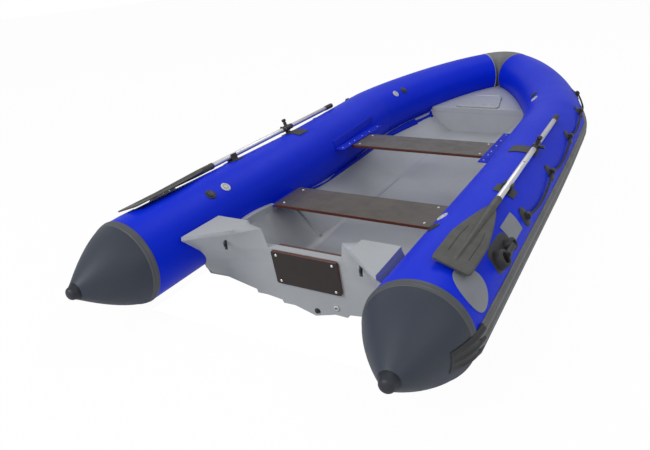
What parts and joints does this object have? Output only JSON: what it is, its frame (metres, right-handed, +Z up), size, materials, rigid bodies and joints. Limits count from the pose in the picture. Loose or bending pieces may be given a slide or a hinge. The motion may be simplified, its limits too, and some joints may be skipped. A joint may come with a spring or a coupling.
{
  "type": "rigid inflatable boat",
  "caption": "Open rigid inflatable boat: V hull, side tubes with end cones, two thwarts, bow locker and two stowed oars on swinging rowlocks.",
  "frame": {"origin": "on the centreline at the waterline, level with the joint between the tubes and their end cones", "axes": "+Y to the bow, +X to starboard, +Z up"},
  "size_m": [1.8558, 4.615, 0.7093],
  "materials": {
    "hull_gelcoat": "satin gelcoat",
    "film_plywood": "film-faced, smooth",
    "tube_fabric": "coated fabric, satin",
    "grey_fabric": "coated fabric, satin",
    "cone_fabric": "coated fabric, satin",
    "moulded_rubber": "matte",
    "strake_rubber": "satin",
    "shaft_aluminium": "anodised, satin",
    "oar_plastic": "moulded",
    "black_valve": "moulded",
    "white_plastic": "moulded",
    "rope": "twisted rope",
    "plate_neutral": "blank",
    "stainless": "polished"
  },
  "bodies": {
    "boat": {"hull_shell": "hull_gelcoat", "cockpit_liner": "hull_gelcoat", "transom_moulding": "hull_gelcoat", "bow_locker_deck": "hull_gelcoat", "seat_aft": "film_plywood", "seat_forward": "film_plywood", "motor_plate_outer": "film_plywood", "motor_plate_inner": "film_plywood", "tube_port": "tube_fabric", "tube_starboard": "tube_fabric", "seat_bracket_aft_port": "tube_fabric", "seat_bracket_aft_starboard": "tube_fabric", "seat_bracket_forward_port": "tube_fabric", "seat_bracket_forward_starboard": "tube_fabric", "bow_patch": "grey_fabric", "cone_port": "cone_fabric", "cone_starboard": "cone_fabric", "cone_tip_port": "moulded_rubber", "cone_tip_starboard": "moulded_rubber", "rowlock_base_port": "moulded_rubber", "rowlock_base_starboard": "moulded_rubber", "oar_clip_port": "moulded_rubber", "oar_clip_starboard": "moulded_rubber", "lifeline_holders_port": "moulded_rubber", "lifeline_holders_starboard": "moulded_rubber", "carry_handle_port": "moulded_rubber", "carry_handle_starboard": "moulded_rubber", "rub_strake_port": "strake_rubber", "rub_strake_starboard": "strake_rubber", "drain_plug": "oar_plastic", "inflation_valves_port": "black_valve", "inflation_valves_starboard": "black_valve", "relief_valves_port": "white_plastic", "relief_valves_starboard": "white_plastic", "drain_flange": "white_plastic", "lifeline_port": "rope", "lifeline_starboard": "rope", "side_plate_port": "plate_neutral", "side_plate_starboard": "plate_neutral", "side_badge_port": "plate_neutral", "side_badge_starboard": "plate_neutral", "transom_eye_port": "stainless", "transom_eye_starboard": "stainless"},
    "oar_starboard": {"oar_shaft_starboard": "shaft_aluminium", "oar_blade_starboard": "oar_plastic", "oar_grip_starboard": "oar_plastic", "rowlock_swivel_starboard": "oar_plastic"},
    "oar_port": {"oar_shaft_port": "shaft_aluminium", "oar_blade_port": "oar_plastic", "oar_grip_port": "oar_plastic", "rowlock_swivel_port": "oar_plastic"},
    "lid": {"locker_lid": "hull_gelcoat"}
  },
  "joints": [
    {"name": "oar_starboard_swing", "type": "hinge", "parent": "boat", "child": "oar_starboard", "pos_m": [0.78478, 1.53, 0.49062], "axis": [0.3338, -0.0127, 0.9426], "range_deg": [0, 100], "deforming": ["oar_clip_starboard"]},
    {"name": "oar_port_swing", "type": "hinge", "parent": "boat", "child": "oar_port", "pos_m": [-0.78478, 1.53, 0.49062], "axis": [0.3338, 0.0127, -0.9426], "range_deg": [0, 100], "deforming": ["oar_clip_port"]},
    {"name": "locker_lid_hinge", "type": "hinge", "parent": "boat", "child": "lid", "pos_m": [0, 3.54, 0.2958], "axis": [-1, 0, 0], "range_deg": [0, 100]}
  ]
}
